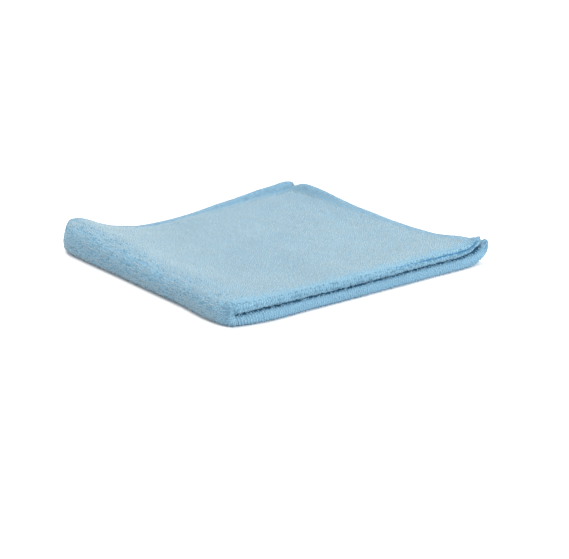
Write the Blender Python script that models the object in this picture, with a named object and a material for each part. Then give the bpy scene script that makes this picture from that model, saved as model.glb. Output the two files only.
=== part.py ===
"""A square microfibre cloth, folded in quarters and lying on a table.

One sheet is folded in half, then in half again, so it lies in four layers. The
first fold runs along -Y and shows as two loops, one above the other. The second
fold runs along -X and is one thick roll that wraps all four layers. The hems lie
open along +X and +Y. Sizes are in millimetres and become metres in the mesh.
"""

import math

import bpy
import numpy as np

MM = 0.001

FOLDED_SIDE = 200.0  # the cloth is a 400 mm square before it is folded
SHEET_THICKNESS = 1.7
HEM_THICKNESS = 1.9
HEM_WIDTH = 6.0

LEG_STEPS = 17  # steps from a fold to the open hems
ROLL_STEPS = 8  # steps round the thick second fold
LOOP_STEPS = 6  # steps round each loop of the first fold

ROLL_DEPTH_SHARE = 0.9  # how far the roll bulges, as a share of half its height
LOOP_DEPTH_SHARE = 1.0
BEND_SQUARENESS = 0.72  # 1 bends round a circle, less is fuller at its corners
ROLL_START = 4.0  # how far inside the nominal square each bend starts
LOOP_START = 1.5
LEAST_GAP = 0.3  # between one layer and the next
OUTWARDS = (-1, 1, -1, 1)  # which way the outer face of each layer looks, from below

# How high the top of the stack is. A row is a section at one y, a column one x.
HEIGHT_AT_X = (-100, -88, -72, -50, 0, 50, 80, 100)
HEIGHT_SECTIONS = {
    -100: (13.7, 13.9, 13.8, 13.5, 13.4, 13.4, 13.6, 14.2),
    -85: (13.9, 14.2, 13.4, 12.5, 12.0, 12.2, 12.8, 13.8),
    -60: (14.2, 14.6, 12.6, 10.4, 9.7, 9.7, 9.9, 10.4),
    -20: (15.2, 15.6, 12.4, 9.7, 9.0, 9.0, 9.3, 9.8),
    20: (16.6, 17.0, 13.0, 9.8, 8.9, 8.9, 9.3, 10.0),
    60: (18.4, 18.9, 14.2, 10.0, 8.9, 9.1, 9.8, 11.4),
    85: (19.6, 19.4, 14.2, 9.4, 8.6, 8.9, 9.6, 10.8),
    100: (20.8, 18.4, 12.7, 9.0, 8.5, 8.7, 9.0, 9.6),
}

# How the air in the stack is shared between its three gaps, from below. The lower
# loop is full and the upper one flat, most of all at the lifted corner.
AIR_SHARE = {
    "at the loops": (0.63, 0.13, 0.24),
    "at the lifted corner": (0.86, 0.09, 0.05),
    "where the folds meet": (0.38, 0.12, 0.50),
    "elsewhere": (0.32, 0.34, 0.34),
}
LOOP_REACH = 26.0  # how far the fullness of the loops reaches in from the fold
CORNER_REACH = 30.0

# How far each open hem lies inside the nominal square, by layer from below.
HEM_INSET = {
    "at +X": (2.2, 0.0, 1.6, 0.8),
    "at +Y": (1.0, 0.0, 2.6, 1.2),
}

# How far the hems at +Y are pulled in, along x.
PULLED_IN = {-100: 4.0, -86: 1.2, -62: 8.0, -38: 12.0, 0: 10.0, 35: 5.0, 70: 1.0, 100: 0.0}

# How far the hems at +X wander inwards, along y.
WANDER_IN = {-100: 0.4, -84: 0.4, -50: 0.4, -22: 1.6, 8: 0.6, 36: 1.0, 70: 0.2, 100: 1.0}

# The lower loop runs on past the square where it ends at the lifted corner, and
# the very end of it stands up.
CORNER_RUN_ON = 4.6
CORNER_RUN_WIDTH = 15.0
CORNER_RISE = 3.0

# How far the second fold bulges out past its straight line, along y.
ROLL_BULGE = {-100: -0.6, -93: 1.8, -84: 3.0, -50: 1.8, -20: 1.8, 30: 1.4, 70: 1.6, 90: 0.2, 100: -5.0}

# The inner layers crowd into the second fold where it meets the first.
CROWDED_BY = 2.0
CROWDED_REACH = 25.0

# How far the top of the second fold leans back over the cloth, along y.
ROLL_LEAN = {-100: 0.0, 30: 0.4, 70: 1.6, 100: 4.2}

# How far the first fold bulges out past its straight line, along x.
LOOP_BULGE = {-100: -3.8, -93: -0.8, -84: 1.0, -40: 1.8, 10: 1.8, 50: 1.2, 85: 0.8, 100: -1.4}

# The hem of the top layer turned up: how much it rises along x at +Y, and along
# y at +X, over its last few millimetres.
LIP_WIDTH = 8.0
LIP_AT_Y = {-100: 0.0, -40: 0.0, -5: 0.6, 20: 2.2, 50: 3.8, 80: 5.8, 92: 6.6, 100: 5.4}
LIP_AT_X = {-100: 0.6, -88: 0.8, -70: 0.6, -50: 0.5, 0: 1.0, 40: 2.4, 60: 3.8, 85: 5.2, 100: 3.8}

# The corner where the loops end at +X lifts off the table.
LIFT_CORNER = (104.0, -104.0)
LIFT_HEIGHT = 5.2
LIFT_REACH = 17.0


def clear_scene():
    for thing in list(bpy.data.objects):
        bpy.data.objects.remove(thing, do_unlink=True)


def smooth(share):
    """An S-shaped step from 0 to 1."""
    share = np.clip(share, 0.0, 1.0)
    return share * share * (3.0 - 2.0 * share)


def curve_through(knots, values, at):
    """A smooth curve through values at knots. values may hold a grid per knot."""
    knots = np.asarray(knots, float)
    values = np.asarray(values, float)
    slopes = np.gradient(values, knots, axis=0)
    at = np.clip(at, knots[0], knots[-1])
    left = np.clip(np.searchsorted(knots, at, side="right") - 1, 0, len(knots) - 2)
    width = knots[left + 1] - knots[left]
    share = (at - knots[left]) / width
    start = (1 + 2 * share) * (1 - share) ** 2
    end = share**2 * (3 - 2 * share)
    leave = share * (1 - share) ** 2 * width
    arrive = share**2 * (share - 1) * width
    if values.ndim == 1:
        return (
            start * values[left]
            + end * values[left + 1]
            + leave * slopes[left]
            + arrive * slopes[left + 1]
        )
    columns = np.arange(values.shape[1])
    return (
        start * values[left, columns]
        + end * values[left + 1, columns]
        + leave * slopes[left, columns]
        + arrive * slopes[left + 1, columns]
    )


def along(table, at):
    """The value of one of the tables above at each place."""
    return curve_through(list(table), list(table.values()), at)


def stack_height(x, y):
    """The height of the top of the stack over each point, without the lips."""
    flat_x = x.ravel()
    rows = [curve_through(HEIGHT_AT_X, row, flat_x) for row in HEIGHT_SECTIONS.values()]
    height = curve_through(list(HEIGHT_SECTIONS), np.array(rows), y.ravel())
    return height.reshape(x.shape)


def eased(count):
    """Steps from 0 to 1, closer together at both ends."""
    share = np.linspace(0.0, 1.0, count + 1)
    return 0.35 * share + 0.65 * smooth(share)


def unfold(leg_steps, bend_steps):
    """Runs from one open hem, round a fold, to the other open hem.

    Returns how far along its leg each step is, and where it is round the bend:
    -1 below the fold, +1 above it, with the bulge of the bend between.
    """
    leg = eased(leg_steps)
    turn = np.linspace(-math.pi / 2, math.pi / 2, bend_steps + 1)[1:-1]
    rise = np.sign(turn) * np.abs(np.sin(turn)) ** BEND_SQUARENESS
    swell = np.cos(turn) ** BEND_SQUARENESS
    out = np.concatenate([leg[::-1], np.zeros(len(turn)), leg])
    side = np.concatenate([-np.ones(len(leg)), rise, np.ones(len(leg))])
    bulge = np.concatenate([np.zeros(len(leg)), swell, np.zeros(len(leg))])
    return out, side, bulge


def mix_layers(values, upper, inner):
    """Mixes the values of layers 1 to 4. upper and inner run from -1 to 1."""
    up = (1 + upper) / 2
    within = (1 + inner) / 2
    low = (1 - within) * values[0] + within * values[1]
    high = (1 - within) * values[3] + within * values[2]
    return (1 - up) * low + up * high


def layer_heights(x, y):
    """The height of the middle of each of the four layers, from below."""
    half = FOLDED_SIDE / 2
    near_hem = np.maximum(x, y)
    thickness = SHEET_THICKNESS + (HEM_THICKNESS - SHEET_THICKNESS) * smooth(
        (near_hem - half + HEM_WIDTH) / 3.0
    )
    air = np.maximum(stack_height(x, y) - 4 * thickness, 3 * LEAST_GAP)
    corner_x, corner_y = LIFT_CORNER
    away = np.hypot(x - corner_x, y - corner_y)
    near_lift = smooth(1 - away / CORNER_REACH)
    near_meeting = smooth(1 - np.hypot(x + corner_x, y - corner_y) / CORNER_REACH)
    near_loops = (1 - smooth((y + half) / LOOP_REACH)) * (1 - near_lift - near_meeting)
    inland = 1 - near_loops - near_lift - near_meeting
    heights = [thickness / 2]
    near = (near_loops, near_lift, near_meeting, inland)
    for shares in zip(*AIR_SHARE.values()):
        share = sum(weight * part for weight, part in zip(near, shares))
        heights.append(heights[-1] + thickness + air * share)
    lift = LIFT_HEIGHT * smooth(1 - away / LIFT_REACH)
    lip_y = along(LIP_AT_Y, x) * smooth((y - half + LIP_WIDTH) / LIP_WIDTH)
    lip_x = along(LIP_AT_X, y) * smooth((x - half + LIP_WIDTH) / LIP_WIDTH)
    heights[3] = heights[3] + np.maximum(lip_y, lip_x)
    heights[2] = heights[2] + 0.5 * np.maximum(lip_y, lip_x)
    return [height + lift for height in heights], thickness


def face_of_sheet(side):
    """One face of the folded sheet as a grid of points, with the sheet's thickness.

    side is 1 for the outer face, -1 for the inner one and 0 for the middle.
    """
    half = FOLDED_SIDE / 2
    leg_x, upper, bulge_x = (run[:, None] for run in unfold(LEG_STEPS, ROLL_STEPS))
    leg_y, inner, bulge_y = (run[None, :] for run in unfold(LEG_STEPS, LOOP_STEPS))
    shape = np.broadcast_shapes(leg_x.shape, leg_y.shape)
    inner = np.broadcast_to(inner, shape)
    upper = np.broadcast_to(upper, shape)
    plain_x = np.broadcast_to(-half + ROLL_START + leg_x * (FOLDED_SIDE - ROLL_START), shape)
    plain_y = np.broadcast_to(-half + LOOP_START + leg_y * (FOLDED_SIDE - LOOP_START), shape)

    heights, thickness = layer_heights(plain_x, plain_y)
    step = side * thickness / 2
    heights = [height + way * step for height, way in zip(heights, OUTWARDS)]
    outer_half = (heights[3] - heights[0]) / 2
    inner_half = (heights[2] - heights[1]) / 2
    roll = outer_half + (inner_half - outer_half) * (1 + inner) / 2
    lower_half = (heights[1] - heights[0]) / 2
    upper_half = (heights[3] - heights[2]) / 2
    loop = lower_half + (upper_half - lower_half) * (1 + upper) / 2

    x = plain_x - bulge_x * roll * ROLL_DEPTH_SHARE
    x = x - leg_x * mix_layers(HEM_INSET["at +X"], upper, inner)
    x = x - leg_x**4 * along(WANDER_IN, plain_y)
    x = x - (1 - leg_x) ** 4 * along(ROLL_BULGE, plain_y)
    crowded = CROWDED_BY * smooth(1 - (plain_y + half) / CROWDED_REACH)
    x = x - (1 - leg_x) ** 4 * crowded * (1 + inner) / 2
    x = x + bulge_x * (1 + upper) / 2 * along(ROLL_LEAN, plain_y) * roll / outer_half
    at_corner = smooth(1 - (plain_y + half) / CORNER_RUN_WIDTH) * (1 - upper) / 2
    x = x + leg_x**6 * CORNER_RUN_ON * at_corner
    y = plain_y - bulge_y * loop * LOOP_DEPTH_SHARE
    y = y - leg_y * mix_layers(HEM_INSET["at +Y"], upper, inner)
    y = y - leg_y**3 * along(PULLED_IN, plain_x)
    y = y - (1 - leg_y) ** 4 * along(LOOP_BULGE, plain_x)
    z = mix_layers(heights, upper, inner) + leg_x**60 * CORNER_RISE * at_corner
    return np.stack([x, y, z], axis=-1), thickness


def rim_of(count_x, count_y):
    """The grid places round the edge of the sheet, in order."""
    rim = [(i, 0) for i in range(count_x - 1)]
    rim += [(count_x - 1, j) for j in range(count_y - 1)]
    rim += [(i, count_y - 1) for i in range(count_x - 1, 0, -1)]
    rim += [(0, j) for j in range(count_y - 1, 0, -1)]
    return rim


def cloth_mesh():
    """The vertices and faces of the sheet: both its faces and the edge of its hems."""
    points, thickness = face_of_sheet(0)
    outside, _ = face_of_sheet(1)
    inside, _ = face_of_sheet(-1)
    count_x, count_y = points.shape[:2]

    rim = rim_of(count_x, count_y)
    hem_edge = []
    for i, j in rim:
        next_i = min(max(i, 1), count_x - 2)
        next_j = min(max(j, 1), count_y - 2)
        out = points[i, j] - points[next_i, next_j]
        out = out / np.linalg.norm(out)
        hem_edge.append(points[i, j] + out * thickness[i, j] * 0.4)

    vertices = np.concatenate([outside.reshape(-1, 3), inside.reshape(-1, 3), hem_edge])
    middle = (vertices.min(axis=0) + vertices.max(axis=0)) / 2
    vertices[:, :2] -= middle[:2]
    size = count_x * count_y
    faces = []
    for i in range(count_x - 1):
        for j in range(count_y - 1):
            a = i * count_y + j
            quad = (a, a + 1, a + count_y + 1, a + count_y)
            faces.append(quad)
            faces.append(tuple(size + corner for corner in reversed(quad)))
    for k, (i, j) in enumerate(rim):
        after = (k + 1) % len(rim)
        here = i * count_y + j
        there = rim[after][0] * count_y + rim[after][1]
        faces.append((here, there, 2 * size + after, 2 * size + k))
        faces.append((2 * size + k, 2 * size + after, size + there, size + here))
    return vertices * MM, faces


def microfibre():
    """Matt, pale blue."""
    material = bpy.data.materials.new("microfibre")
    material.use_nodes = True
    surface = material.node_tree.nodes["Principled BSDF"]
    surface.inputs["Base Color"].default_value = (0.33, 0.56, 0.70, 1.0)
    surface.inputs["Roughness"].default_value = 0.95
    surface.inputs["Metallic"].default_value = 0.0
    return material


def build():
    clear_scene()
    vertices, faces = cloth_mesh()
    mesh = bpy.data.meshes.new("cloth")
    mesh.from_pydata(vertices.tolist(), [], faces)
    mesh.update()
    mesh.materials.append(microfibre())
    for face in mesh.polygons:
        face.use_smooth = True
    cloth = bpy.data.objects.new("cloth", mesh)
    bpy.context.scene.collection.objects.link(cloth)


build()
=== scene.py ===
"""The looks of a folded microfibre cloth: its looped pile, hems, stitching and light.

Lengths on the cloth are in millimetres until add_mesh makes them metres. Lights and the
camera are placed in metres.
"""

import math

import bpy
import numpy as np
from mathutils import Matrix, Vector


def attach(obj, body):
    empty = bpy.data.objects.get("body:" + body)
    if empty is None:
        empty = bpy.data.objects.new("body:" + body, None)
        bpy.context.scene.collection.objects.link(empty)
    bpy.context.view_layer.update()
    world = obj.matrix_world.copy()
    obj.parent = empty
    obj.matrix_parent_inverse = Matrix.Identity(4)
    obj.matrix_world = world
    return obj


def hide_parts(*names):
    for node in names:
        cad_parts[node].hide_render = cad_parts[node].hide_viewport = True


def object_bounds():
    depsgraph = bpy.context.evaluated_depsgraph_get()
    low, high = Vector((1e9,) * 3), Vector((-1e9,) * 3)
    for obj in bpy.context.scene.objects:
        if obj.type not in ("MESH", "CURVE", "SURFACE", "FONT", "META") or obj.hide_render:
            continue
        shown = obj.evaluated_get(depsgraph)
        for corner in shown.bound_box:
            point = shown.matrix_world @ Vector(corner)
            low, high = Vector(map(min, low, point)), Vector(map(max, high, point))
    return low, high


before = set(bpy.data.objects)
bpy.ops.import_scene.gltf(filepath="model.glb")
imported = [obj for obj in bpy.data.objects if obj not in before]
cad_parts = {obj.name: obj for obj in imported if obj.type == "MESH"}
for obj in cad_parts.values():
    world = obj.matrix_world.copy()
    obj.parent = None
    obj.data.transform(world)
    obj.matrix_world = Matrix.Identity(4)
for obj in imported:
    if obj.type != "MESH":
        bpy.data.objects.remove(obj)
cad_low, cad_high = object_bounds()

MM = 0.001
rng = np.random.default_rng(41)

# ---------------------------------------------------------------- the folded sheet

FOLDED_SIDE = 200.0
SHEET_THICKNESS = 1.7
HEM_THICKNESS = 1.9
HEM_WIDTH = 6.0
HEM_BLEND = 3.0
GROUND_SHARE = 0.56  # how much of the sheet's thickness is ground cloth, under the pile
HEM_SHARE = 0.89  # the same in the stitched band of the hems

# The thick fold (the roll) is at -X and holds all four layers. The double fold (the
# loops) is at -Y. Each starts so far in from the side of the plain square.
ROLL_DEPTH_SHARE = 0.9  # how deep each bend is, as a share of half its height
LOOP_DEPTH_SHARE = 1.0
BEND_SQUARENESS = 0.72
ROLL_START = 4.0
LOOP_START = 1.5
LEAST_GAP = 0.3

# The height of the stack: a row for each section across the cloth, at its y, with a
# value at each place along x.
HEIGHT_AT_X = (-100, -88, -72, -50, 0, 50, 80, 100)
HEIGHT_SECTIONS = {
    -100: (13.7, 13.9, 13.8, 13.5, 13.4, 13.4, 13.6, 14.2),
    -85: (13.9, 14.2, 13.4, 12.5, 12.0, 12.2, 12.8, 13.8),
    -60: (14.2, 14.6, 12.6, 10.4, 9.7, 9.7, 9.9, 10.4),
    -20: (15.2, 15.6, 12.4, 9.7, 9.0, 9.0, 9.3, 9.8),
    20: (16.6, 17.0, 13.0, 9.8, 8.9, 8.9, 9.3, 10.0),
    60: (18.4, 18.9, 14.2, 10.0, 8.9, 9.1, 9.8, 11.4),
    85: (19.6, 19.4, 14.2, 9.4, 8.6, 8.9, 9.6, 10.8),
    100: (20.8, 18.4, 12.7, 9.0, 8.5, 8.7, 9.0, 9.6),
}

# How the air in the stack is shared out between its three gaps, lowest gap first.
AIR_SHARE = {
    "at the loops": (0.63, 0.13, 0.24),
    "at the lifted corner": (0.86, 0.09, 0.05),
    "where the folds meet": (0.38, 0.12, 0.50),
    "elsewhere": (0.32, 0.34, 0.34),
}
LOOP_REACH = 26.0
CORNER_REACH = 30.0

# How far each layer's hem is set back, lowest layer first.
HEM_INSET = {
    "at +X": (2.2, 0.0, 1.6, 0.8),
    "at +Y": (1.0, 0.0, 2.6, 1.2),
}

# How the outline wanders from a square. At each x, the +Y hems are pulled in and the
# loops bulge out. At each y, the +X hems wander in, and the roll bulges out and leans in.
PULLED_IN = {-100: 4.0, -86: 1.2, -62: 8.0, -38: 12.0, 0: 10.0, 35: 5.0, 70: 1.0, 100: 0.0}
WANDER_IN = {-100: 0.4, -84: 0.4, -50: 0.4, -22: 1.6, 8: 0.6, 36: 1.0, 70: 0.2, 100: 1.0}
ROLL_BULGE = {-100: -0.6, -93: 1.8, -84: 3.0, -50: 1.8, -20: 1.8, 30: 1.4, 70: 1.6, 90: 0.2, 100: -5.0}
LOOP_BULGE = {-100: -3.8, -93: -0.8, -84: 1.0, -40: 1.8, 10: 1.8, 50: 1.2, 85: 0.8, 100: -1.4}
CROWDED_BY = 2.0  # how much nearer the inner fold lies where the folds meet
CROWDED_REACH = 25.0
ROLL_LEAN = {-100: 0.0, 30: 0.4, 70: 1.6, 100: 4.2}

# At (+X, -Y) the lower layers run on and rise, and the whole corner lifts a little.
CORNER_RUN_ON = 4.6
CORNER_RUN_WIDTH = 15.0
CORNER_RISE = 3.0
LIFT_CORNER = (104.0, -104.0)
LIFT_HEIGHT = 5.2
LIFT_REACH = 17.0

# How far the top hem turns up, along each side. The one below it turns up by a share.
LIP_WIDTH = 8.0
INNER_LIP_SHARE = 0.5
LIP_AT_Y = {-100: 0.0, -40: 0.0, -5: 0.6, 20: 2.2, 50: 3.8, 80: 5.8, 92: 6.6, 100: 5.4}
LIP_AT_X = {-100: 0.6, -88: 0.8, -70: 0.6, -50: 0.5, 0: 1.0, 40: 2.4, 60: 3.8, 85: 5.2, 100: 3.8}

# Small unevenness of the cloth as it lies: how high, and how long each way. The shift
# picks the part of the noise that they come from.
WRINKLE_SHIFT = 40
WRINKLES = [
    {"height": 0.22, "long_x": 21.0, "long_y": 27.0, "seed": 3},
    {"height": 0.12, "long_x": 8.0, "long_y": 11.0, "seed": 8},
]

# The small gap between the two turned-up hems at the back corner.
NOTCH = {"x": 103.0, "y": 94.5, "depth": 3.4, "reach": 4.0}

# Creases along the upper loop: how far round it from its outermost line, along x,
# with how deep each is, along x, and how wide.
CREASES = [
    {
        "round": {-60: 8.0, 0: 4.6, 20: 2.4, 50: 1.5, 104: 1.0},
        "depth": {-60: 0.0, 0: 0.4, 40: 1.1, 104: 1.3},
        "width": 0.65,
    },
    {
        "round": {0: 8.0, 40: 6.2, 104: 4.6},
        "depth": {0: 0.0, 40: 0.5, 70: 0.8, 104: 0.7},
        "width": 0.8,
    },
]

# Steps of the grid: on a leg from hem to bend, on the legs of the two inner layers, and
# round each bend.
LEG_STEPS = 108
INNER_LEG_STEPS = 34
ROLL_STEPS = 30
LOOP_STEPS = 18

# Lines of the grid where the bends start and end.
ROLL_LOW, ROLL_HIGH = LEG_STEPS, LEG_STEPS + ROLL_STEPS
LOOP_LOW, LOOP_HIGH = LEG_STEPS, LEG_STEPS + LOOP_STEPS
LAST_I = 2 * LEG_STEPS + ROLL_STEPS
LAST_J = LEG_STEPS + LOOP_STEPS + INNER_LEG_STEPS

NOISE_CELLS = 256  # the noise repeats after so many


def smooth(share):
    share = np.clip(share, 0.0, 1.0)
    return share * share * (3.0 - 2.0 * share)


def unit(vectors):
    return vectors / np.maximum(np.linalg.norm(vectors, axis=-1, keepdims=True), 1e-9)


def curve_through(knots, values, at):
    """A smooth curve through values at knots. values may hold a column per point."""
    knots = np.asarray(knots, float)
    values = np.asarray(values, float)
    slopes = np.gradient(values, knots, axis=0)
    at = np.clip(at, knots[0], knots[-1])
    left = np.clip(np.searchsorted(knots, at, side="right") - 1, 0, len(knots) - 2)
    width = knots[left + 1] - knots[left]
    share = (at - knots[left]) / width
    weights = (
        (1 + 2 * share) * (1 - share) ** 2,
        share**2 * (3 - 2 * share),
        share * (1 - share) ** 2 * width,
        share**2 * (share - 1) * width,
    )
    here = (left,) if values.ndim == 1 else (left, np.arange(values.shape[1]))
    after = (left + 1,) + here[1:]
    parts = (values[here], values[after], slopes[here], slopes[after])
    return sum(weight * part for weight, part in zip(weights, parts))


def along(table, at):
    return curve_through(list(table), list(table.values()), at)


def value_noise(x, y, seed):
    """Smooth noise from -1 to 1 between random values at whole x and y."""
    lattice = np.random.default_rng(seed).uniform(-1, 1, (NOISE_CELLS, NOISE_CELLS))
    cell_x = np.floor(x).astype(int)
    cell_y = np.floor(y).astype(int)
    in_x = smooth(x - cell_x)
    in_y = smooth(y - cell_y)
    x0, x1 = cell_x % NOISE_CELLS, (cell_x + 1) % NOISE_CELLS
    y0, y1 = cell_y % NOISE_CELLS, (cell_y + 1) % NOISE_CELLS
    low = lattice[x0, y0] * (1 - in_x) + lattice[x1, y0] * in_x
    high = lattice[x0, y1] * (1 - in_x) + lattice[x1, y1] * in_x
    return low * (1 - in_y) + high * in_y


def stack_height(x, y):
    """How high the four layers stand, with the small wrinkles of the cloth."""
    rows = [curve_through(HEIGHT_AT_X, row, x.ravel()) for row in HEIGHT_SECTIONS.values()]
    height = curve_through(list(HEIGHT_SECTIONS), np.array(rows), y.ravel()).reshape(x.shape)
    for wrinkle in WRINKLES:
        in_x = x / wrinkle["long_x"] + WRINKLE_SHIFT
        in_y = y / wrinkle["long_y"] + WRINKLE_SHIFT
        height = height + wrinkle["height"] * value_noise(in_x, in_y, wrinkle["seed"])
    return height


def eased(count):
    """Steps from 0 to 1 that are closer together at both ends."""
    share = np.linspace(0.0, 1.0, count + 1)
    return 0.45 * share + 0.55 * smooth(share)


def unfold(first_leg, bend_steps, second_leg):
    """From one open hem, round a fold, to the other: how far out, which side, how bulged."""
    turn = np.linspace(-math.pi / 2, math.pi / 2, bend_steps + 1)[1:-1]
    rise = np.sign(turn) * np.abs(np.sin(turn)) ** BEND_SQUARENESS
    swell = np.cos(turn) ** BEND_SQUARENESS
    first, second = eased(first_leg)[::-1], eased(second_leg)
    out = np.concatenate([first, np.zeros(len(turn)), second])
    side = np.concatenate([-np.ones(len(first)), rise, np.ones(len(second))])
    bulge = np.concatenate([np.zeros(len(first)), swell, np.zeros(len(second))])
    return out, side, bulge


def mix_layers(values, upper, inner):
    """A value for each layer, lowest first, mixed over the sheet from layer to layer."""
    up = (1 + upper) / 2
    within = (1 + inner) / 2
    low = (1 - within) * values[0] + within * values[1]
    high = (1 - within) * values[3] + within * values[2]
    return (1 - up) * low + up * high


def air_weights(x, y):
    """How much each row of AIR_SHARE counts at x, y, in the table's order."""
    corner_x, corner_y = LIFT_CORNER
    at_lift = smooth(1 - np.hypot(x - corner_x, y - corner_y) / CORNER_REACH)
    at_meeting = smooth(1 - np.hypot(x + corner_x, y - corner_y) / CORNER_REACH)
    at_loops = (1 - smooth((y + FOLDED_SIDE / 2) / LOOP_REACH)) * (1 - at_lift - at_meeting)
    return at_loops, at_lift, at_meeting, 1 - at_loops - at_lift - at_meeting


def hem_lip(x, y):
    """How far the upper hems turn up, with the notch between them at the back corner."""
    half = FOLDED_SIDE / 2
    lip_y = along(LIP_AT_Y, x) * smooth((y - half + LIP_WIDTH) / LIP_WIDTH)
    lip_x = along(LIP_AT_X, y) * smooth((x - half + LIP_WIDTH) / LIP_WIDTH)
    off_notch = ((x - NOTCH["x"]) ** 2 + (y - NOTCH["y"]) ** 2) / NOTCH["reach"] ** 2
    return np.maximum(lip_y, lip_x) - NOTCH["depth"] * np.exp(-off_notch)


def layer_heights(x, y):
    """The heights of the four layers, lowest first, and the thickness of the sheet."""
    past_hem = np.maximum(x, y) - FOLDED_SIDE / 2 + HEM_WIDTH
    thickness = SHEET_THICKNESS + (HEM_THICKNESS - SHEET_THICKNESS) * smooth(past_hem / HEM_BLEND)
    air = np.maximum(stack_height(x, y) - 4 * thickness, 3 * LEAST_GAP)
    weights = air_weights(x, y)
    heights = [thickness / 2]
    for shares in zip(*AIR_SHARE.values()):
        share = sum(weight * part for weight, part in zip(weights, shares))
        heights.append(heights[-1] + thickness + air * share)
    lip = hem_lip(x, y)
    heights[3] = heights[3] + lip
    heights[2] = heights[2] + INNER_LIP_SHARE * lip
    off_corner = np.hypot(x - LIFT_CORNER[0], y - LIFT_CORNER[1])
    lift = LIFT_HEIGHT * smooth(1 - off_corner / LIFT_REACH)
    return [height + lift for height in heights], thickness


class Sheet:
    """The middle surface of the folded sheet, on a grid.

    The grid's first index, i, runs from open hem to open hem round the roll, and its
    second, j, round the loops. Each grid place has its point, its thickness and the way
    out of the outer face. upper is -1 on the two lower layers and 1 on the two upper
    ones. far_across and far_down measure along the cloth, and pinched is how deep a
    crease is.
    """

    def __init__(self):
        plain_x = self.lay()
        self.centre()
        across = np.gradient(self.points, axis=0)
        down = np.gradient(self.points, axis=1)
        self.out = -unit(np.cross(across, down))
        run_across = np.linalg.norm(across, axis=-1)
        run_down = np.linalg.norm(down, axis=-1)
        self.far_across = np.concatenate([[0], np.cumsum(run_across.mean(axis=1)[1:])])
        self.far_down = np.concatenate([[0], np.cumsum(run_down.mean(axis=0)[1:])])
        self.crease(plain_x, run_down)

    def lay(self):
        """Lays the points, and gives their x on a plain square."""
        half = FOLDED_SIDE / 2
        leg_x, upper, bulge_x = (part[:, None] for part in unfold(LEG_STEPS, ROLL_STEPS, LEG_STEPS))
        leg_y, inner, bulge_y = (part[None, :] for part in unfold(LEG_STEPS, LOOP_STEPS, INNER_LEG_STEPS))
        shape = np.broadcast_shapes(leg_x.shape, leg_y.shape)
        inner = np.broadcast_to(inner, shape)
        self.upper = upper = np.broadcast_to(upper, shape)
        plain_x = np.broadcast_to(-half + ROLL_START + leg_x * (FOLDED_SIDE - ROLL_START), shape)
        plain_y = np.broadcast_to(-half + LOOP_START + leg_y * (FOLDED_SIDE - LOOP_START), shape)
        heights, self.thickness = layer_heights(plain_x, plain_y)

        # Half the height of each bend, which follows from the layers that it joins.
        outer_half = (heights[3] - heights[0]) / 2
        inner_half = (heights[2] - heights[1]) / 2
        roll = outer_half + (inner_half - outer_half) * (1 + inner) / 2
        lower_half = (heights[1] - heights[0]) / 2
        upper_half = (heights[3] - heights[2]) / 2
        loop = lower_half + (upper_half - lower_half) * (1 + upper) / 2

        # A power of a leg keeps each change near the hem or, on 1 - leg, near the bend.
        x = plain_x - bulge_x * roll * ROLL_DEPTH_SHARE
        x = x - leg_x * mix_layers(HEM_INSET["at +X"], upper, inner)
        x = x - leg_x**4 * along(WANDER_IN, plain_y)
        x = x - (1 - leg_x) ** 4 * along(ROLL_BULGE, plain_y)
        crowded = CROWDED_BY * smooth(1 - (plain_y + half) / CROWDED_REACH)
        x = x - (1 - leg_x) ** 4 * crowded * (1 + inner) / 2
        x = x + bulge_x * (1 + upper) / 2 * along(ROLL_LEAN, plain_y) * roll / outer_half
        at_corner = smooth(1 - (plain_y + half) / CORNER_RUN_WIDTH) * (1 - upper) / 2
        x = x + leg_x**6 * CORNER_RUN_ON * at_corner

        y = plain_y - bulge_y * loop * LOOP_DEPTH_SHARE
        y = y - leg_y * mix_layers(HEM_INSET["at +Y"], upper, inner)
        y = y - leg_y**3 * along(PULLED_IN, plain_x)
        y = y - (1 - leg_y) ** 4 * along(LOOP_BULGE, plain_x)

        z = mix_layers(heights, upper, inner) + leg_x**60 * CORNER_RISE * at_corner
        self.points = np.stack([x, y, z], axis=-1)
        return plain_x

    def centre(self):
        """Puts the sheet where the CAD solid has it."""
        low = np.array(cad_low) / MM
        high = np.array(cad_high) / MM
        reach = self.points.reshape(-1, 3)
        middle = (reach.min(axis=0) + reach.max(axis=0)) / 2
        self.points[..., :2] += ((low + high) / 2 - middle)[:2]

    def crease(self, plain_x, run_down):
        """Sinks the creases into the upper loop."""
        self.pinched = np.zeros(plain_x.shape)
        round_loop = np.cumsum(run_down, axis=1)
        round_loop = round_loop[:, [(LOOP_LOW + LOOP_HIGH) // 2]] - round_loop
        for crease in CREASES:
            off_line = round_loop - along(crease["round"], plain_x)
            trough = np.exp(-((off_line / crease["width"]) ** 2))
            sunk = along(crease["depth"], plain_x) * trough * (self.upper > 0.95)
            self.points = self.points - self.out * sunk[..., None]
            self.pinched = self.pinched + sunk


def sample(grid, i, j):
    """grid at fractional places i, j, which stay just short of its last lines."""
    i = np.clip(i, 0, grid.shape[0] - 1.001)
    j = np.clip(j, 0, grid.shape[1] - 1.001)
    i0, j0 = i.astype(int), j.astype(int)
    in_i, in_j = i - i0, j - j0
    if grid.ndim == 3:
        in_i, in_j = in_i[:, None], in_j[:, None]
    low = grid[i0, j0] * (1 - in_i) + grid[i0 + 1, j0] * in_i
    high = grid[i0, j0 + 1] * (1 - in_i) + grid[i0 + 1, j0 + 1] * in_i
    return low * (1 - in_j) + high * in_j


def grid_place(far, along_cloth):
    """The fractional grid place that lies so far along the cloth."""
    return np.interp(far, along_cloth, np.arange(len(along_cloth)))


cloth = Sheet()

# ---------------------------------------------------------------- helpers for meshes


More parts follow.
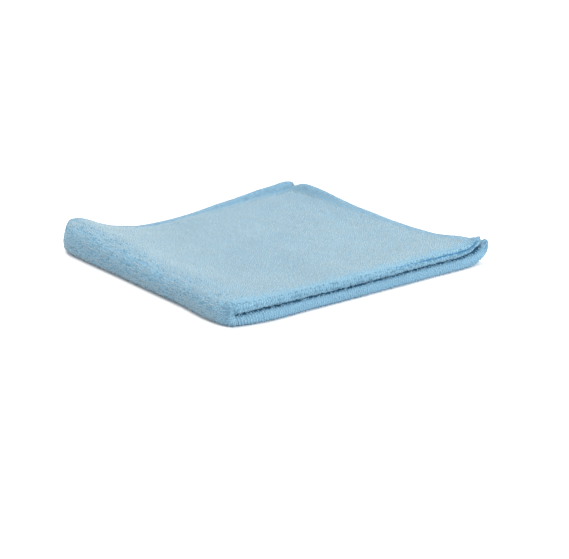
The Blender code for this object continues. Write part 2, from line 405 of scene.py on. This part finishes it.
def add_mesh(name, vertices, faces, materials, face_material=None):
    """A smooth mesh in metres from vertices in millimetres. faces is an array."""
    mesh = bpy.data.meshes.new(name)
    faces = np.asarray(faces, np.int32)
    sides = faces.shape[1]
    mesh.vertices.add(len(vertices))
    mesh.vertices.foreach_set("co", (np.asarray(vertices) * MM).astype(np.float32).ravel())
    mesh.loops.add(faces.size)
    mesh.loops.foreach_set("vertex_index", faces.ravel())
    mesh.polygons.add(len(faces))
    mesh.polygons.foreach_set("loop_start", np.arange(0, faces.size, sides, dtype=np.int32))
    mesh.polygons.foreach_set("loop_total", np.full(len(faces), sides, np.int32))
    mesh.polygons.foreach_set("use_smooth", np.ones(len(faces), bool))
    for material in materials:
        mesh.materials.append(material)
    if face_material is not None:
        mesh.polygons.foreach_set("material_index", np.asarray(face_material, np.int32))
    mesh.update(calc_edges=True)
    mesh.validate()
    thing = bpy.data.objects.new(name, mesh)
    bpy.context.scene.collection.objects.link(thing)
    return thing


def tubes(paths, radii, side, squash=1.0):
    """Three-sided tubes along many paths at once, open at their ends.

    paths is tubes x rings x 3, radii is tubes x rings and side is a vector across
    each tube, tubes x 3. Returns vertices and triangles.
    """
    sides = 3
    count, rings = paths.shape[:2]
    forward = unit(np.gradient(paths, axis=1))
    across = np.broadcast_to(side[:, None, :], paths.shape)
    across = unit(across - (across * forward).sum(-1, keepdims=True) * forward)
    up = np.cross(forward, across)
    angles = math.pi / 2 + np.arange(sides) * 2 * math.pi / sides
    around = (
        across[:, :, None, :] * np.cos(angles)[None, None, :, None]
        + up[:, :, None, :] * np.sin(angles)[None, None, :, None] * squash
    )
    vertices = paths[:, :, None, :] + around * radii[:, :, None, None]
    ring = np.arange(sides)
    after = (ring + 1) % sides
    start = np.arange(rings - 1)[:, None] * sides
    a, b = start + ring, start + after
    c, d = b + sides, a + sides
    halves = [np.stack([a, b, c], -1), np.stack([a, c, d], -1)]
    faces = np.concatenate([half.reshape(-1, 3) for half in halves])
    base = np.arange(count)[:, None, None] * rings * sides
    return vertices.reshape(-1, 3), (faces[None] + base).reshape(-1, 3)


# ---------------------------------------------------------------- materials


class Nodes:
    """A node tree with the bits of wiring that the materials share."""

    def __init__(self, name):
        self.material = bpy.data.materials.new(name)
        self.material.use_nodes = True
        self.tree = self.material.node_tree
        self.surface = self.tree.nodes["Principled BSDF"]
        self.place = self.add("ShaderNodeTexCoord").outputs["Object"]

    def add(self, kind, **settings):
        node = self.tree.nodes.new(kind)
        for key, value in settings.items():
            setattr(node, key, value)
        return node

    def link(self, source, target):
        self.tree.links.new(source, target)

    def noise(self, size_mm, detail, stretch=(1, 1, 1)):
        mapping = self.add("ShaderNodeMapping")
        mapping.inputs["Scale"].default_value = stretch
        self.link(self.place, mapping.inputs["Vector"])
        noise = self.add("ShaderNodeTexNoise")
        noise.inputs["Scale"].default_value = 1000.0 / size_mm
        noise.inputs["Detail"].default_value = detail
        noise.inputs["Roughness"].default_value = 0.55
        self.link(mapping.outputs["Vector"], noise.inputs["Vector"])
        return noise.outputs["Fac"]

    def ramp(self, factor, first, last):
        """A colour that runs from one stop to another. A stop is a place and a colour."""
        node = self.add("ShaderNodeValToRGB")
        for stop, (place, colour) in zip(node.color_ramp.elements, (first, last)):
            stop.position = place
            stop.color = (*colour, 1.0)
        self.link(factor, node.inputs["Fac"])
        return node.outputs["Color"]

    def multiply(self, first, second):
        mix = self.add("ShaderNodeMix", data_type="RGBA", blend_type="MULTIPLY")
        mix.inputs[0].default_value = 1.0
        self.link(first, mix.inputs[6])
        self.link(second, mix.inputs[7])
        return mix.outputs[2]

    def colour(self, colour):
        self.link(colour, self.surface.inputs["Base Color"])

    def bump(self, height, strength, distance_mm):
        bump = self.add("ShaderNodeBump")
        bump.inputs["Strength"].default_value = strength
        bump.inputs["Distance"].default_value = distance_mm * MM
        self.link(height, bump.inputs["Height"])
        self.link(bump.outputs["Normal"], self.surface.inputs["Normal"])

    def finish(self, roughness, sheen, sheen_roughness, sheen_tint):
        self.surface.inputs["Metallic"].default_value = 0.0
        self.surface.inputs["Roughness"].default_value = roughness
        self.surface.inputs["Specular IOR Level"].default_value = 0.25
        self.surface.inputs["Sheen Weight"].default_value = sheen
        self.surface.inputs["Sheen Roughness"].default_value = sheen_roughness
        self.surface.inputs["Sheen Tint"].default_value = (*sheen_tint, 1.0)
        return self.material


def pile_material(name, deep, pale, sheen):
    """Microfibre loops: mottled from patch to patch and from loop to loop."""
    made = Nodes(name)
    patches = made.ramp(made.noise(size_mm=34.0, detail=3.0), (0.32, deep), (0.68, pale))
    shades = made.noise(size_mm=1.7, detail=1.0, stretch=(1.0, 0.8, 1.0))
    loops = made.ramp(shades, (0.30, (0.95, 0.965, 0.975)), (0.70, (1.0, 1.0, 1.0)))
    made.colour(made.multiply(patches, loops))
    fibres = made.noise(size_mm=0.35, detail=2.0, stretch=(1.0, 0.35, 1.0))
    made.bump(fibres, strength=0.5, distance_mm=0.12)
    return made.finish(roughness=0.95, sheen=sheen, sheen_roughness=0.60, sheen_tint=(1.0, 0.95, 0.88))


def ground_material(name, deep, pale):
    """The knitted ground between the loops, darker than the pile as painted shade for the shadow among them.
    """
    made = Nodes(name)
    made.colour(made.ramp(made.noise(size_mm=2.2, detail=4.0), (0.30, deep), (0.70, pale)))
    knit = made.noise(size_mm=0.9, detail=2.0, stretch=(1.0, 0.5, 1.0))
    made.bump(knit, strength=0.6, distance_mm=0.3)
    return made.finish(roughness=0.95, sheen=0.0, sheen_roughness=0.5, sheen_tint=(1.0, 1.0, 1.0))


def hem_material(name, deep, pale):
    """The stitched-down hem band, smoother and more saturated than the pile. Its dark shades are partly its
    own colour and partly painted shade.
    """
    made = Nodes(name)
    shades = made.noise(size_mm=1.8, detail=2.0, stretch=(1.0, 1.0, 0.6))
    made.colour(made.ramp(shades, (0.36, deep), (0.64, pale)))
    made.bump(made.noise(size_mm=0.8, detail=2.0), strength=0.5, distance_mm=0.25)
    return made.finish(roughness=0.85, sheen=0.25, sheen_roughness=0.5, sheen_tint=(1.0, 0.97, 0.94))


def thread_material(name, deep, pale):
    """Overlock thread, twisted and slightly glossy."""
    made = Nodes(name)
    made.colour(made.ramp(made.noise(size_mm=3.0, detail=2.0), (0.30, deep), (0.70, pale)))
    made.bump(made.noise(size_mm=0.25, detail=1.0), strength=0.4, distance_mm=0.08)
    return made.finish(roughness=0.65, sheen=0.2, sheen_roughness=0.4, sheen_tint=(1.0, 0.98, 0.96))


# Each material is mottled between a deep shade and a pale one.
# The first pile is paler and greyer: painted sheen and overhead light, as on the top. The second is the same
# pile without that painted light, for the band of loops.
SHEEN_PAINTED_PILE = pile_material("pile with painted sheen", (0.272, 0.386, 0.456), (0.308, 0.426, 0.492), 0.25)
PILE_WITHOUT_PAINTED_SHEEN = pile_material("pile without painted sheen", (0.238, 0.428, 0.565), (0.273, 0.470, 0.602), 0.10)
# The third pile is darker: painted shade, for loops in the parted streaks and on the lines along the upper
# loop.
SHADE_PAINTED_PILE = pile_material("pile in painted shade", (0.105, 0.235, 0.330), (0.140, 0.280, 0.380), 0.10)
# The ground is darker than the pile: painted shade, for the shadow among the loops.
GROUND = ground_material("knitted ground", (0.135, 0.265, 0.370), (0.170, 0.310, 0.420))
# The darkest ground is painted shade, for creases, the mouth between the loops and the undersides at the
# floor.
SHADE_PAINTED_GROUND = ground_material("ground in painted shade", (0.040, 0.160, 0.290), (0.070, 0.210, 0.350))
# The hem is partly its own darker colour and partly painted shade for the turned-up band.
HEM = hem_material("hem band", (0.078, 0.185, 0.285), (0.165, 0.305, 0.415))
THREAD = thread_material("overlock thread", (0.165, 0.310, 0.425), (0.215, 0.375, 0.495))

# ---------------------------------------------------------------- the ground sheet

STITCHED_WIDTH = 4.6
STITCHED_BLEND = 1.2
COVERED_WIDTH = 2.2  # the bare width at the +X hems, where the pile lies out over the stitches
CONTACT_SHADE_HEIGHT = 1.1  # up to this height the undersides of both folds get painted shade, for their contact shadow on the floor
BARE_BELOW = CONTACT_SHADE_HEIGHT - 0.2  # and below this one they have no pile
GROUND_LOWEST = 0.12
EDGE_ROUNDING = 0.8
SHADED_CREASE_DEPTH = 0.4  # a crease this deep gets painted shade on its ground
MOUTH = (LOOP_HIGH - 3, LOOP_HIGH + 12)  # the grid lines of the mouth between the loops, where the ground gets painted shade


def edge_distance():
    """How far each grid place is from the nearest open hem, in millimetres."""
    across = cloth.far_across
    down = cloth.far_down
    to_x = np.minimum(across, across[-1] - across)[:, None]
    to_y = np.minimum(down, down[-1] - down)[None, :]
    return np.minimum(to_x, to_y)


def rim_places():
    """The grid places round the open hems, in order."""
    rim = [(i, 0) for i in range(LAST_I)]
    rim += [(LAST_I, j) for j in range(LAST_J)]
    rim += [(i, LAST_J) for i in range(LAST_I, 0, -1)]
    rim += [(0, j) for j in range(LAST_J, 0, -1)]
    return np.array(rim).T


def painted_shade_places(front):
    """Where the ground gets painted shade: in a crease, in the mouth between the loops and under a fold."""
    i, j = np.indices(cloth.pinched.shape)
    creased = cloth.pinched > SHADED_CREASE_DEPTH
    in_mouth = (j > MOUTH[0]) & (j < MOUTH[1])
    on_roll = (i > ROLL_LOW) & (i < ROLL_HIGH)
    on_loop = (j > LOOP_LOW) & (j < LOOP_HIGH)
    under_edge = (on_roll | on_loop) & (front[..., 2] < CONTACT_SHADE_HEIGHT)
    return creased | in_mouth | under_edge


def face_quads(places):
    """The quads of a grid whose vertex numbers are in places."""
    a, b = places[:-1, :-1].ravel(), places[:-1, 1:].ravel()
    c, d = places[1:, 1:].ravel(), places[1:, :-1].ravel()
    return np.stack([a, b, c, d], -1)


def ground_sheet():
    """The thin sheet itself: two faces and a rounded rim."""
    stitched = 1 - smooth((edge_distance() - STITCHED_WIDTH) / STITCHED_BLEND)
    share = GROUND_SHARE + (HEM_SHARE - GROUND_SHARE) * stitched
    half = (cloth.thickness * share / 2)[..., None]
    front = cloth.points + cloth.out * half
    back = cloth.points - cloth.out * half
    front[..., 2] = np.maximum(front[..., 2], GROUND_LOWEST)

    i, j = rim_places()
    inland = cloth.points[np.clip(i, 1, LAST_I - 1), np.clip(j, 1, LAST_J - 1)]
    edge = cloth.points[i, j] + unit(cloth.points[i, j] - inland) * half[i, j] * EDGE_ROUNDING
    vertices = np.concatenate([front.reshape(-1, 3), back.reshape(-1, 3), edge])

    places = np.arange(cloth.pinched.size).reshape(cloth.pinched.shape)
    front_faces = face_quads(places)
    back_faces = front_faces[:, ::-1] + places.size
    here = places[i, j]
    there = np.roll(here, -1)
    ring = 2 * places.size + np.arange(len(here))
    after = np.roll(ring, -1)
    rim_front = np.stack([here, there, after, ring], -1)
    rim_back = np.stack([ring, after, there + places.size, here + places.size], -1)
    faces = np.concatenate([front_faces, back_faces, rim_front, rim_back])

    near = (edge_distance()[:-1, :-1] < STITCHED_WIDTH).ravel()
    # Away from the hems, the ground in creases, in the mouth and under the folds takes the darker copy, as
    # painted shade.
    in_painted_shade = painted_shade_places(front)[:-1, :-1].ravel() & ~near
    which = np.concatenate([near + 2 * in_painted_shade, near, np.ones(2 * len(here), int)])
    return add_mesh("cloth_sheet", vertices, faces, [GROUND, HEM, SHADE_PAINTED_GROUND], which)


sheet = ground_sheet()

# ---------------------------------------------------------------- the looped pile

# The size of a loop, for rows this far apart with a loop this often along each. It is
# scaled for patches with other rows.
WALE_PITCH = 1.7
LOOP_PITCH = 1.3
LOOP_SPAN = 0.62
LOOP_RISE = 0.62
YARN_RADIUS = 0.40
PILE_LOWEST = 0.02

# How much the loops differ from one another, as shares of their size.
SPAN_SHARES = (0.8, 1.2)
HEIGHT_SHARES = (0.72, 1.2)
YARN_SHARES = (0.85, 1.12)
MATTED_BY = 0.22  # from patch to patch, in height
LEANING_BY = 0.22  # sideways, as a share of the height
TURNED_BY = 0.45  # in radians
TURNED_BY_AT_GAP = 0.7  # in radians too, beside the gap between the loops at -Y
LOWERED_AT_GAP = (0.0, 0.6)
LOWERED_IN_STREAKS = 0.35
THINNED_BY = 0.3  # up to this share is missing in streaks and at the gap

# The streaks on the shoulder of the roll: how far they lie past its middle and how wide
# a band they fill, how much both change on the way to the loops, and over what length.
SHOULDER_AT = 8.0
SHOULDER_WIDTH = 7.5
SHOULDER_LOWERED = 5.0
SHOULDER_WIDENED = 2.5
SHOULDER_CHANGE = 120.0
STREAK_LENGTH = 7.0
STREAK_WIDTH = 1.4
SHADE_LINE_PITCH = 2.7  # between the lines of painted shade that run along the upper loop
SHEEN_FADE_REACH = 13.0  # over this far in from the loops the pile turns from the copy with painted sheen to the one without it
TOP_MIDDLE = (ROLL_HIGH + LAST_I) // 2
DENSE = {"wale": 1.3, "pitch": 1.1}

# The arch of one loop, ring by ring: how far along it and how far up, in spans and
# rises, and how thick the yarn is there.
ROUND_ARCH = ((-1.1, -0.35, 0.75), (-0.5, 0.8, 1.0), (0.5, 0.8, 1.0), (1.1, -0.35, 0.75))
PLAIN_ARCH = ((-1.1, -0.35, 0.8), (0.0, 0.9, 1.05), (1.1, -0.35, 0.8))


class Loops:
    """The loops of one patch of pile. Each column has a value for each loop.

    i and j are a loop's place on the sheet's grid. a and d are the same place in
    millimetres along the cloth, as in the sheet's far_across and far_down.
    """

    def __init__(self, **columns):
        vars(self).update(columns)

    def keep(self, chosen):
        """Drops the loops that aren't chosen, from every column."""
        for name, column in vars(self).items():
            setattr(self, name, column[chosen])

    def scatter(self, low, high):
        return rng.uniform(low, high, len(self.i))

    def of(self, grid):
        """The values of one of the sheet's grids at the loops."""
        return sample(grid, self.i, self.j)


def lattice(across, down, wale, pitch, untidy):
    """Loops in rows between those grid lines, a little out of line."""
    a = np.arange(*cloth.far_across[list(across)], wale)
    d = np.arange(*cloth.far_down[list(down)], pitch)
    row, place = np.indices((len(a), len(d)))
    a, d = np.meshgrid(a, d, indexing="ij")
    a = a + np.where((place + row) % 2, 0.2, -0.2) * wale * untidy
    a = a + rng.normal(0, 0.16 * wale * untidy, a.shape)
    d = d + rng.uniform(0, 1, (len(a), 1)) * pitch + rng.normal(0, 0.2 * pitch, d.shape)
    a, d = a.ravel(), d.ravel()
    return Loops(i=grid_place(a, cloth.far_across), j=grid_place(d, cloth.far_down), a=a, d=d)


def off_the_hems(loops):
    """Whether each loop is clear of the stitched bands, whose borders are ragged."""
    to_x_hem = np.minimum(loops.a, cloth.far_across[-1] - loops.a)
    to_y_hem = np.minimum(loops.d, cloth.far_down[-1] - loops.d)
    ragged = 0.7 * value_noise(loops.a / 5.0, loops.d / 5.0, 52)
    clear = np.minimum(to_x_hem, to_y_hem) > STITCHED_WIDTH + ragged
    return clear | ((to_x_hem <= to_y_hem) & (to_x_hem > COVERED_WIDTH + ragged))


def combed(loops):
    """How much the loops are combed apart into streaks, from 0 to 1.

    The pile opens over the shoulder of the roll, in streaks along it. Nearer to the
    loops the streaks lie lower and spread further.
    """
    a, d = loops.a, loops.d
    past = a - cloth.far_across[(ROLL_LOW + ROLL_HIGH) // 2]
    to_loops = smooth(1 - (cloth.far_down[LOOP_LOW] - d) / SHOULDER_CHANGE)
    off_band = past - SHOULDER_AT + SHOULDER_LOWERED * to_loops
    band_width = SHOULDER_WIDTH + SHOULDER_WIDENED * to_loops
    on_shoulder = np.exp(-((off_band / band_width) ** 2)) + 0.3 * np.exp(-((past / 7.0) ** 2))
    streak = value_noise(a / STREAK_WIDTH + 7, d / STREAK_LENGTH + 3, 12)
    streak = streak + 0.5 * value_noise(a / 2.6, d / 11.0, 15)
    clump = smooth(0.5 + value_noise(a / 14.0 + 3, d / 17.0 + 9, 21))
    return np.clip(on_shoulder, 0, 1) * smooth(0.3 + streak) * (0.45 + 0.55 * clump)


def loop_places(across, down, wale, pitch, untidy, clear_below):
    """The loops of one patch, without those on hems, in creases or under an edge."""
    loops = lattice(across, down, wale, pitch, untidy)
    loops.keep(off_the_hems(loops))
    loops.parted = combed(loops)
    loops.by_gap = smooth((loops.j - LOOP_HIGH + 5) / 4)
    pinched = smooth(loops.of(cloth.pinched) / 0.8 - 0.25)
    thinned = THINNED_BY * np.maximum(loops.parted, loops.by_gap)
    loops.keep(loops.scatter(0, 1) > np.maximum(thinned, pinched))
    loops.out = unit(loops.of(cloth.out))
    under_pile = loops.of(cloth.thickness) * GROUND_SHARE / 2
    loops.foot = loops.of(cloth.points) + loops.out * under_pile[:, None]
    loops.keep(loops.foot[:, 2] > clear_below)
    return loops


def loop_tubes(loops, wale, pitch, rise, arch, untidy):
    """The arches of the loops, as vertices and triangles."""
    onwards = sample(cloth.points, loops.i, loops.j + 0.5)
    ahead = unit(onwards - sample(cloth.points, loops.i, loops.j - 0.5))
    turn = rng.normal(0, TURNED_BY * untidy + TURNED_BY_AT_GAP * loops.by_gap)[:, None]
    run = ahead * np.cos(turn) + np.cross(loops.out, ahead) * np.sin(turn)
    side = np.cross(loops.out, run)
    lean = rng.normal(0, LEANING_BY, len(turn))[:, None]
    matted = 1 + MATTED_BY * value_noise(loops.a / 6.0 + 11, loops.d / 7.0 + 5, 31)
    span = LOOP_SPAN * loops.scatter(*SPAN_SHARES) * pitch / LOOP_PITCH
    height = LOOP_RISE * loops.scatter(*HEIGHT_SHARES) * matted * rise
    height = height * (1 - LOWERED_IN_STREAKS * loops.parted)
    height = height * (1 - loops.by_gap * loops.scatter(*LOWERED_AT_GAP))
    radius = YARN_RADIUS * loops.scatter(*YARN_SHARES) * wale / WALE_PITCH
    rings = [
        loops.foot
        + run * (far * span)[:, None]
        + loops.out * (up * height)[:, None]
        + side * lean * (max(up, 0.0) * height)[:, None]
        for far, up, _ in arch
    ]
    radii = np.stack([radius * share for _, _, share in arch], axis=1)
    vertices, faces = tubes(np.stack(rings, axis=1), radii, side, squash=0.8)
    vertices[:, 2] = np.maximum(vertices[:, 2], PILE_LOWEST)
    return vertices, faces


def loop_colours(loops, shaded):
    """For each loop 0 for pile with painted sheen, 1 for pile without it or 2 for pile in painted shade."""
    wander = value_noise(loops.a / 24.0 + 2, loops.d / 9.0 + 6, 77)
    shade_line = smooth(0.45 + 0.9 * np.sin(2 * math.pi * (loops.d / SHADE_LINE_PITCH + 0.4 * wander)))
    in_shade = shaded * shade_line * smooth(loops.of(cloth.upper) * 4)
    # Parted loops, and loops on the lines along the upper loop, take the darker copy as painted shade.
    deep = loops.scatter(0, 1) < loops.parted * 0.85 + in_shade
    # Near the loops the pile takes the copy without painted sheen.
    without_painted_sheen = loops.scatter(0, 1) < smooth((loops.d - cloth.far_down[LOOP_LOW]) / SHEEN_FADE_REACH + 1)
    return np.where(deep, 2, without_painted_sheen)


def pile(name, across, down, wale, pitch, rise, arch, untidy=1.0, clear_below=0.0, shaded=0.0):
    """One piece of pile on the outer face of the sheet, between those grid lines."""
    loops = loop_places(across, down, wale, pitch, untidy, clear_below)
    vertices, faces = loop_tubes(loops, wale, pitch, rise, arch, untidy)
    which = np.repeat(loop_colours(loops, shaded), len(faces) // len(loops.i))
    return add_mesh(name, vertices, faces, [SHEEN_PAINTED_PILE, PILE_WITHOUT_PAINTED_SHEEN, SHADE_PAINTED_PILE], which)


pieces = [
    pile("pile_top_near_roll", (ROLL_HIGH, TOP_MIDDLE), (0, LOOP_LOW), **DENSE, rise=0.7, arch=PLAIN_ARCH),
    pile("pile_top_near_hems", (TOP_MIDDLE, LAST_I), (0, LOOP_LOW), **DENSE, rise=0.7, arch=PLAIN_ARCH),
    pile(
        "pile_roll",
        (ROLL_LOW, ROLL_HIGH),
        (0, LOOP_LOW),
        **DENSE,
        rise=0.8,
        arch=ROUND_ARCH,
        clear_below=BARE_BELOW,
    ),
    pile(
        "pile_loops",
        (0, LAST_I),
        (LOOP_LOW, LOOP_HIGH - 1),
        wale=WALE_PITCH,
        pitch=1.1,
        rise=1.0,
        arch=ROUND_ARCH,
        untidy=0.3,
        clear_below=BARE_BELOW,
        shaded=0.65,
    ),
    pile("pile_underside", (0, ROLL_LOW), (0, LOOP_LOW), wale=2.0, pitch=1.6, rise=0.8, arch=PLAIN_ARCH),
]

# ---------------------------------------------------------------- overlocked hems

STITCH_PITCH = 1.7
FIRST_STITCH = 1.0  # from the corner
THREAD_RADIUS = 0.23
THREAD_SHARES = (0.85, 1.15)
THREAD_UNEVEN = 0.05
THREAD_OFF_FACE = 0.08
THREAD_LOWEST = 0.01

# One stitch, from the outer face round the edge to the inner one: how far in from the
# edge, as a share of the band, which face it lies on (1 is the outer one, -1 the inner),
# and how far along its own pitch.
STITCH = (
    {"inwards": 1.0, "face": 1.0, "along": 0.0},
    {"inwards": 0.72, "face": 1.0, "along": 0.12},
    {"inwards": 0.35, "face": 1.0, "along": 0.3},
    {"inwards": 0.02, "face": 0.9, "along": 0.5},
    {"inwards": 0.0, "face": 0.0, "along": 0.6},
    {"inwards": 0.02, "face": -0.9, "along": 0.7},
    {"inwards": 0.35, "face": -1.0, "along": 0.85},
    {"inwards": 1.0, "face": -1.0, "along": 1.0},
)


def stitch_places():
    """Each stitch round the hems: its grid place on the edge, and the one in from it."""
    across, down = cloth.far_across, cloth.far_down
    i = grid_place(np.arange(FIRST_STITCH, across[-1] - FIRST_STITCH, STITCH_PITCH), across)
    j = grid_place(np.arange(FIRST_STITCH, down[-1] - FIRST_STITCH, STITCH_PITCH), down)
    hems = []
    for edge, inland in ((0, STITCHED_WIDTH), (LAST_J, down[-1] - STITCHED_WIDTH)):
        hems.append((i, np.full_like(i, edge), i, np.full_like(i, grid_place(inland, down))))
    for edge, inland in ((0, STITCHED_WIDTH), (LAST_I, across[-1] - STITCHED_WIDTH)):
        hems.append((np.full_like(j, edge), j, np.full_like(j, grid_place(inland, across)), j))
    return [np.concatenate(column) for column in zip(*hems)]


def overlock():
    """Thread laid over the edge of each hem, stitch by stitch."""
    edge_i, edge_j, inland_i, inland_j = stitch_places()
    edge = sample(cloth.points, edge_i, edge_j)
    along_edge = unit(np.roll(edge, -1, axis=0) - edge)
    outwards = unit(edge - sample(cloth.points, inland_i, inland_j))
    path = []
    for place in STITCH:
        inwards, face = place["inwards"], place["face"]
        i = edge_i * (1 - inwards) + inland_i * inwards
        j = edge_j * (1 - inwards) + inland_j * inwards
        out = unit(sample(cloth.out, i, j))
        half = sample(cloth.thickness, i, j) * HEM_SHARE / 2
        off_middle = half * face + THREAD_OFF_FACE * np.sign(face)
        past_edge = 0.35 + 0.5 * (1 - abs(face))
        point = sample(cloth.points, i, j) + out * off_middle[:, None]
        point = point + outwards * (1.0 - inwards) ** 8 * past_edge
        point = point + along_edge * (place["along"] - 0.5) * STITCH_PITCH * 0.5
        path.append(point)
    path = np.stack(path, axis=1)
    path = path + rng.normal(0, THREAD_UNEVEN, path.shape)
    radii = THREAD_RADIUS * rng.uniform(*THREAD_SHARES, path.shape[:2])
    vertices, faces = tubes(path, radii, along_edge)
    vertices[:, 2] = np.maximum(vertices[:, 2], THREAD_LOWEST)
    return add_mesh("overlock_thread", vertices, faces, [THREAD])


pieces.append(overlock())

for piece in [sheet, *pieces]:
    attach(piece, "root")
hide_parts("cloth")

# ---------------------------------------------------------------- floor, light and camera

WORLD_STRENGTH = 1.12
LIGHTS = (
    {"name": "overhead", "place": (-0.25, 0.9, 2.8), "size": 2.6, "power": 80.0, "colour": (1.0, 0.93, 0.85)},
    {"name": "front", "place": (0.45, -1.5, 0.75), "size": 0.9, "power": 18.0, "colour": (0.94, 0.98, 1.0)},
)
CAMERA_AZIMUTH = math.radians(-37.87)
CAMERA_ELEVATION = math.radians(18.38)
CAMERA_DISTANCE = 0.9
CAMERA_AIM = Vector((-0.0219, -0.0455, 0.0))
CAMERA_LENS = 90.58
SENSOR_WIDTH = 36.0


def floor():
    bpy.ops.mesh.primitive_plane_add(size=8.0, location=(0, 0, 0))
    ground = bpy.context.object
    ground.name = "floor"
    made = Nodes("pale floor")
    patches = made.noise(size_mm=400.0, detail=2.0)
    made.colour(made.ramp(patches, (0.0, (0.90, 0.90, 0.90)), (1.0, (0.93, 0.93, 0.93))))
    made.surface.inputs["Roughness"].default_value = 0.9
    made.surface.inputs["Specular IOR Level"].default_value = 0.0
    ground.data.materials.append(made.material)
    return ground


def facing(thing, way):
    """Turns a light or camera to look along way."""
    thing.rotation_euler = way.to_track_quat("-Z", "Y").to_euler()
    bpy.context.scene.collection.objects.link(thing)


def area_light(name, place, size, power, colour):
    """A round soft light that shines at the middle of the floor."""
    data = bpy.data.lights.new(name, "AREA")
    data.shape = "DISK"
    data.size = size
    data.energy = power
    data.color = colour
    lamp = bpy.data.objects.new(name, data)
    lamp.location = place
    facing(lamp, -Vector(place))


def world_light():
    world = bpy.data.worlds.new("studio")
    world.use_nodes = True
    background = world.node_tree.nodes["Background"]
    background.inputs["Color"].default_value = (1.0, 1.0, 1.0, 1.0)
    background.inputs["Strength"].default_value = WORLD_STRENGTH
    bpy.context.scene.world = world


def camera():
    data = bpy.data.cameras.new("camera")
    data.lens = CAMERA_LENS
    data.sensor_width = SENSOR_WIDTH
    data.clip_start = 0.01
    thing = bpy.data.objects.new("camera", data)
    level = math.cos(CAMERA_ELEVATION)
    back = Vector(
        (
            math.sin(CAMERA_AZIMUTH) * level,
            -math.cos(CAMERA_AZIMUTH) * level,
            math.sin(CAMERA_ELEVATION),
        )
    )
    thing.location = CAMERA_AIM + back * CAMERA_DISTANCE
    facing(thing, -back)
    bpy.context.scene.camera = thing


ground = floor()
world_light()
for light in LIGHTS:
    area_light(**light)
camera()
bpy.context.scene.view_settings.view_transform = "Standard"
